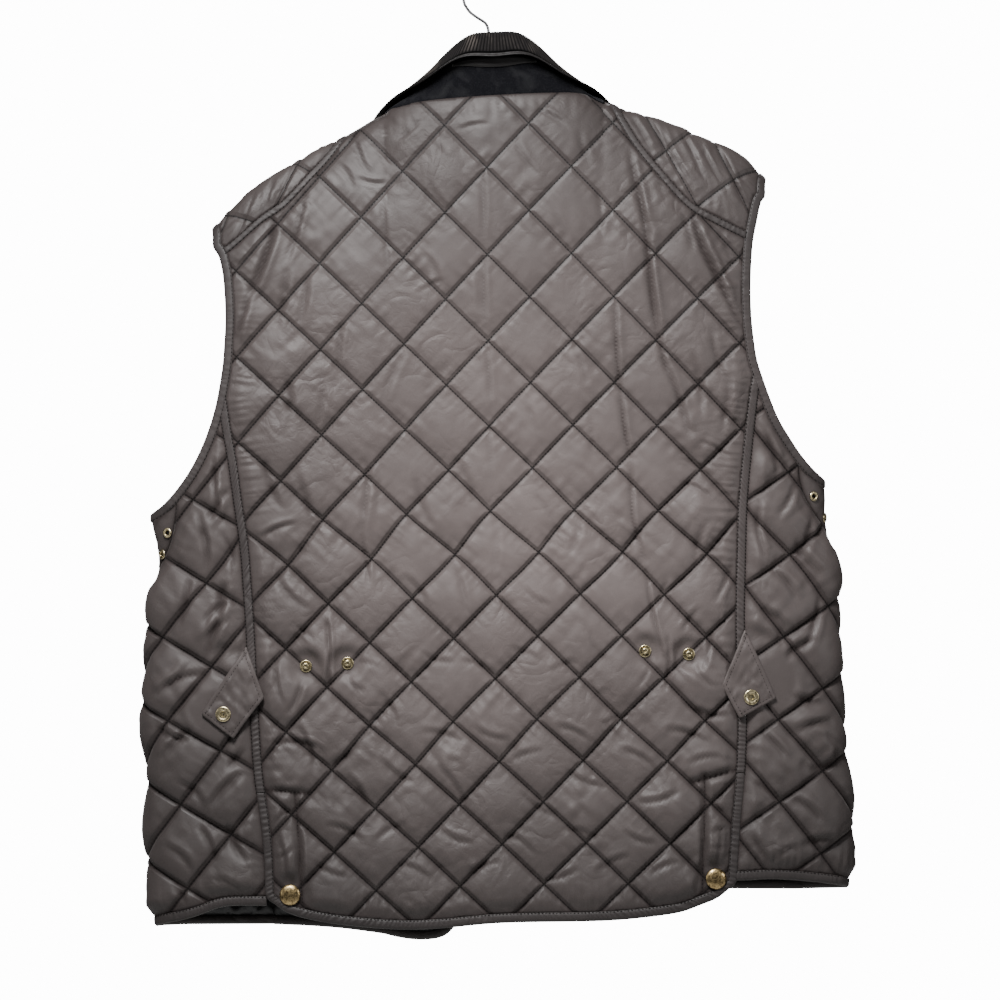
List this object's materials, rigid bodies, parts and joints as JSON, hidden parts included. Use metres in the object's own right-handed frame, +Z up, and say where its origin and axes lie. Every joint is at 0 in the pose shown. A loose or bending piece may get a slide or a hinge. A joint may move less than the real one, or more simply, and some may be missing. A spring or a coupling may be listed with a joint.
{
  "type": "quilted vest on a hanger",
  "caption": "Sleeveless quilted vest with a turned-down corduroy collar, snapped side vents and open front, hanging on a wire-hooked hanger.",
  "frame": {"origin": "inside top of the hanger's hook, where a rod carries it", "axes": "+X to the wearer's right, +Y to the wearer's front, +Z up"},
  "size_m": [0.6626, 0.1292, 0.9038],
  "materials": {
    "nylon": "satin",
    "tape": "satin",
    "velvet": "matte",
    "corduroy": "matte",
    "brass": "satin",
    "wire": "satin",
    "hanger": "matte"
  },
  "bodies": {
    "root": {"armhole_binding_left": "tape", "armhole_binding_right": "tape", "back_hem_binding": "tape", "back_panel": "nylon", "collar_binding": "tape", "collar_crescent": "nylon", "collar_fall": "corduroy", "collar_stand": "velvet", "eyelet_left_1": "brass", "eyelet_left_2": "brass", "eyelet_right_1": "brass", "eyelet_right_2": "brass", "facing_left": "corduroy", "facing_right": "corduroy", "front_hem_binding_left": "tape", "front_hem_binding_right": "tape", "front_left": "nylon", "front_right": "nylon", "front_snap_left_1": "brass", "front_snap_left_2": "brass", "front_snap_left_3": "brass", "front_snap_left_4": "brass", "front_snap_left_5": "brass", "front_snap_right_1": "brass", "front_snap_right_2": "brass", "front_snap_right_3": "brass", "front_snap_right_4": "brass", "front_snap_right_5": "brass", "gusset_left": "nylon", "gusset_right": "nylon", "hanger_bar": "hanger", "hanger_hook": "wire", "seam_band_left": "tape", "seam_band_right": "tape", "side_hem_binding_left": "tape", "side_hem_binding_right": "tape", "side_left": "nylon", "side_right": "nylon", "tab_snap_left": "brass", "tab_snap_right": "brass", "vent_snap_left": "brass", "vent_snap_right": "brass", "waist_stud_left_1": "brass", "waist_stud_left_2": "brass", "waist_stud_right_1": "brass", "waist_stud_right_2": "brass", "waist_tab_left": "nylon", "waist_tab_right": "nylon", "yoke_band_left": "tape", "yoke_band_right": "tape", "yoke_left": "nylon", "yoke_right": "nylon"}
  },
  "joints": []
}
